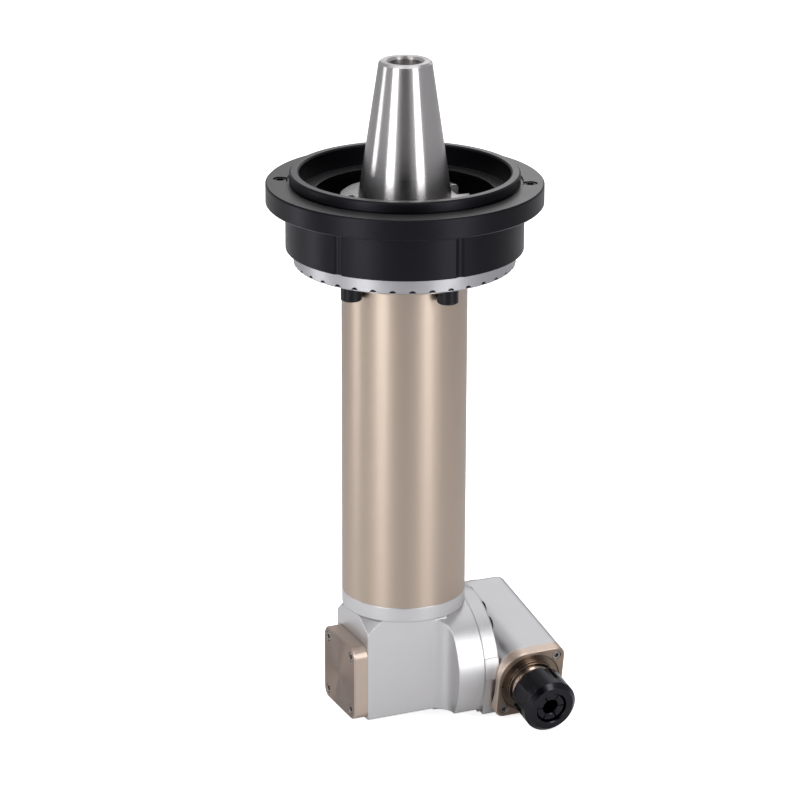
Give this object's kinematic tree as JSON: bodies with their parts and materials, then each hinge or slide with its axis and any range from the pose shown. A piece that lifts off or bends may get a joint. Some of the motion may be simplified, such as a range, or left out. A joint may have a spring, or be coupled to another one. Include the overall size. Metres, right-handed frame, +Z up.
{
  "type": "angle head",
  "caption": "Long-reach milling angle head: taper shank in a stepped flange, indexing tube, bevel gearbox and a swivelling collet head.",
  "frame": {"origin": "centre of the flange's top mating face", "axes": "+Z up along the taper shank, +X from the end cover to the swivelling head, the tool spindle points to -Y"},
  "size_m": [0.2158, 0.2088, 0.5229],
  "materials": {
    "black_oxide_flange": "satin black oxide",
    "black_screw": "black oxide",
    "champagne_aluminium": "anodised, fine turned lay",
    "satin_housing": "fine bead-blasted satin",
    "ground_taper": "ground and polished",
    "steel_screw": "plain steel",
    "black_oxide_nut": "polished black oxide",
    "dark_seal": "dark turned steel",
    "spindle_steel": "hardened and ground",
    "machined_steel": "machined"
  },
  "bodies": {
    "adapter": {"mounting_flange": "black_oxide_flange", "flange_screws": "black_screw"},
    "column": {"index_ring": "satin_housing", "clamp_screws": "black_screw", "t_nuts": "black_screw", "bearing_sleeve": "machined_steel", "extension_tube": "champagne_aluminium", "input_seal": "dark_seal", "input_bearing_outer_rings": "machined_steel", "input_bearing_rollers": "machined_steel", "gearbox_housing": "satin_housing", "bearing_retainer": "machined_steel", "end_cover": "champagne_aluminium", "end_cover_screws": "steel_screw", "shaft_bearing_outer_rings": "machined_steel", "shaft_bearing_rollers": "machined_steel", "cross_bearing_outer_rings": "machined_steel", "cross_bearing_rollers": "machined_steel"},
    "input_shaft": {"taper_shank": "ground_taper", "input_bearing_inner_rings": "machined_steel", "shank_lock_nut": "machined_steel", "drive_pin": "machined_steel", "drive_shaft": "machined_steel", "shaft_bearing_inner_rings": "machined_steel", "input_bevel_gear": "machined_steel", "input_gear_key": "machined_steel"},
    "cross_shaft": {"cross_shaft": "machined_steel", "cross_bearing_inner_rings": "machined_steel", "cross_spacers": "machined_steel", "cross_lock_nut": "machined_steel", "cross_input_bevel": "machined_steel", "cross_output_bevel": "machined_steel", "cross_gear_keys": "machined_steel"},
    "swivel_head": {"head_housing": "satin_housing", "front_plate": "champagne_aluminium", "front_plate_screws": "steel_screw", "rear_cover": "champagne_aluminium", "swivel_clamp_screws": "black_screw", "swivel_t_nuts": "black_screw", "spindle_bearing_outer_rings": "machined_steel"},
    "spindle_rollers": {"spindle_bearing_rollers": "machined_steel"},
    "output_spindle": {"output_spindle": "spindle_steel", "output_bevel_gear": "machined_steel", "output_gear_key": "machined_steel", "spindle_bearing_inner_rings": "machined_steel", "nose_spacer": "machined_steel", "spindle_lock_nut": "machined_steel", "labyrinth_ring": "dark_seal"},
    "collet": {"collet": "spindle_steel"},
    "collet_nut": {"collet_nut": "black_oxide_nut"}
  },
  "joints": [
    {"name": "index_turn", "type": "hinge", "parent": "adapter", "child": "column", "pos_m": [0, 0, 0], "axis": [0, 0, 1], "continuous": true},
    {"name": "input_spin", "type": "hinge", "parent": "column", "child": "input_shaft", "pos_m": [0, 0, 0], "axis": [0, 0, 1], "continuous": true},
    {"name": "cross_spin", "type": "hinge", "parent": "column", "child": "cross_shaft", "pos_m": [0, 0, -0.3906], "axis": [1, 0, 0], "continuous": true},
    {"name": "head_swivel", "type": "hinge", "parent": "column", "child": "swivel_head", "pos_m": [0, 0, -0.3906], "axis": [1, 0, 0], "range_deg": [-99.6, 80.4]},
    {"name": "roller_turn", "type": "hinge", "parent": "swivel_head", "child": "spindle_rollers", "pos_m": [0.0834, 0, -0.3906], "axis": [0, -0.986, -0.1668], "range_deg": [-80.4, 99.6]},
    {"name": "spindle_spin", "type": "hinge", "parent": "spindle_rollers", "child": "output_spindle", "pos_m": [0.0834, 0, -0.3906], "axis": [0, -0.986, -0.1668], "continuous": true},
    {"name": "collet_release", "type": "slide", "parent": "output_spindle", "child": "collet", "axis": [0, -0.986, -0.1668], "range_m": [0, 0.003]},
    {"name": "nut_turn", "type": "hinge", "parent": "collet", "child": "collet_nut", "pos_m": [0.0834, 0, -0.3906], "axis": [0, -0.986, -0.1668], "range_deg": [0, 724]}
  ],
  "couplings": [
    {"joint": "cross_spin", "follows": "input_spin", "ratio": 1},
    {"joint": "spindle_spin", "follows": "input_spin", "ratio": 1},
    {"joint": "roller_turn", "follows": "head_swivel", "ratio": -1},
    {"joint": "nut_turn", "follows": "collet_release", "rad_per_m": 4188.8}
  ]
}
